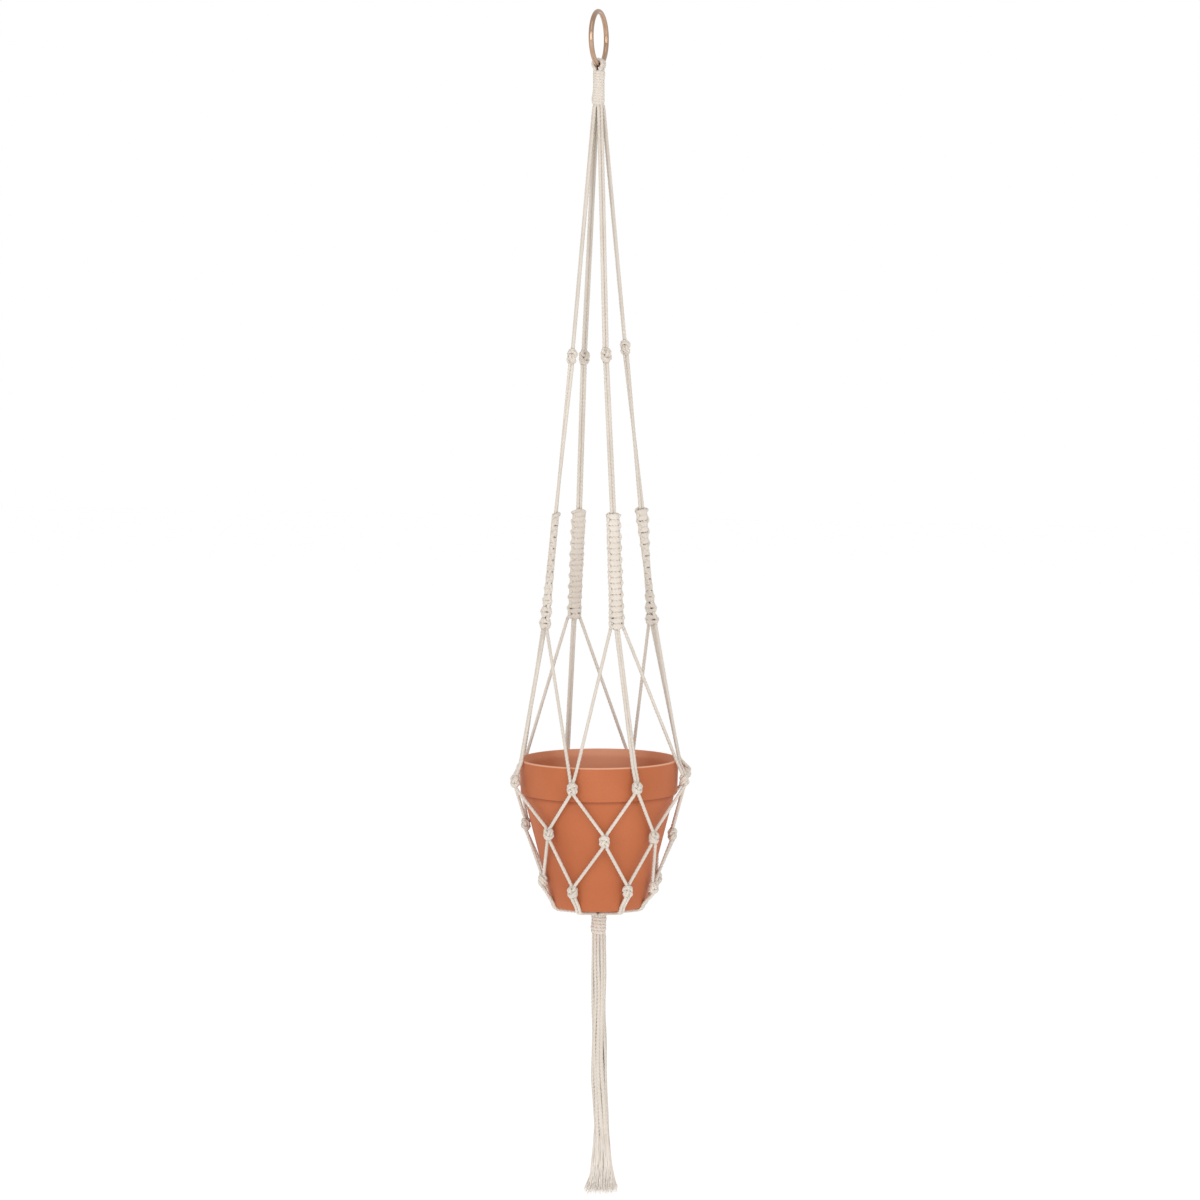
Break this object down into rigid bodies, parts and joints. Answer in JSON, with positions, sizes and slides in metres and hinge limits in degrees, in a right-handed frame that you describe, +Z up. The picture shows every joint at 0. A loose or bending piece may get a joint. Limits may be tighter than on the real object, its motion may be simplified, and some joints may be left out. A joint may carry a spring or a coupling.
{
  "type": "hanging planter",
  "caption": "Macrame plant hanger of knotted natural cotton cord on a metal ring, with a clay pot held in its net and a long tassel below.",
  "frame": {"origin": "inside top of the ring, at the point that bears on a hook", "axes": "+Z up the hanger towards the hook; the ring stands in the YZ plane"},
  "size_m": [0.1825, 0.1825, 1.1875],
  "materials": {
    "cotton_cord": "matt natural twisted cotton",
    "metal_ring": "polished, rose-gold tone",
    "terracotta": "matt unglazed fired clay"
  },
  "bodies": {
    "ring": {"hanging_ring": "metal_ring"},
    "head": {"ring_loops": "cotton_cord", "top_wrap": "cotton_cord"},
    "sling": {"front_upper_cords": "cotton_cord", "front_overhand_knot": "cotton_cord", "front_middle_cords": "cotton_cord", "front_sinnet": "cotton_cord", "front_centre_cords": "cotton_cord", "front_left_cord": "cotton_cord", "front_right_cord": "cotton_cord", "right_upper_cords": "cotton_cord", "right_overhand_knot": "cotton_cord", "right_middle_cords": "cotton_cord", "right_sinnet": "cotton_cord", "right_centre_cords": "cotton_cord", "right_left_cord": "cotton_cord", "right_right_cord": "cotton_cord", "back_upper_cords": "cotton_cord", "back_overhand_knot": "cotton_cord", "back_middle_cords": "cotton_cord", "back_sinnet": "cotton_cord", "back_centre_cords": "cotton_cord", "back_left_cord": "cotton_cord", "back_right_cord": "cotton_cord", "left_upper_cords": "cotton_cord", "left_overhand_knot": "cotton_cord", "left_middle_cords": "cotton_cord", "left_sinnet": "cotton_cord", "left_centre_cords": "cotton_cord", "left_left_cord": "cotton_cord", "left_right_cord": "cotton_cord", "net_row_1_knot_1": "cotton_cord", "net_row_1_knot_2": "cotton_cord", "net_row_1_knot_3": "cotton_cord", "net_row_1_knot_4": "cotton_cord", "net_row_1_knot_5": "cotton_cord", "net_row_1_knot_6": "cotton_cord", "net_row_1_knot_7": "cotton_cord", "net_row_1_knot_8": "cotton_cord", "net_row_2_knot_1": "cotton_cord", "net_row_2_knot_2": "cotton_cord", "net_row_2_knot_3": "cotton_cord", "net_row_2_knot_4": "cotton_cord", "net_row_2_knot_5": "cotton_cord", "net_row_2_knot_6": "cotton_cord", "net_row_2_knot_7": "cotton_cord", "net_row_2_knot_8": "cotton_cord", "net_row_3_knot_1": "cotton_cord", "net_row_3_knot_2": "cotton_cord", "net_row_3_knot_3": "cotton_cord", "net_row_3_knot_4": "cotton_cord", "net_row_3_knot_5": "cotton_cord", "net_row_3_knot_6": "cotton_cord", "net_row_3_knot_7": "cotton_cord", "net_row_3_knot_8": "cotton_cord", "bottom_wrap": "cotton_cord"},
    "pot": {"clay_pot": "terracotta"},
    "tassel": {"tassel": "cotton_cord"}
  },
  "joints": [
    {"name": "head_rock", "type": "hinge", "parent": "ring", "child": "head", "pos_m": [0, 0, -0.0495], "axis": [0, 1, 0], "range_deg": [-30, 30]},
    {"name": "sling_swing", "type": "hinge", "parent": "head", "child": "sling", "pos_m": [0, 0, -0.0905], "axis": [1, 0, 0], "range_deg": [-20, 20]},
    {"name": "pot_turn", "type": "hinge", "parent": "sling", "child": "pot", "pos_m": [0, 0, -0.8139], "axis": [0, 0, 1], "continuous": true},
    {"name": "tassel_swing", "type": "hinge", "parent": "sling", "child": "tassel", "pos_m": [0, 0, -0.9185], "axis": [0, 1, 0], "range_deg": [-25, 25]}
  ]
}
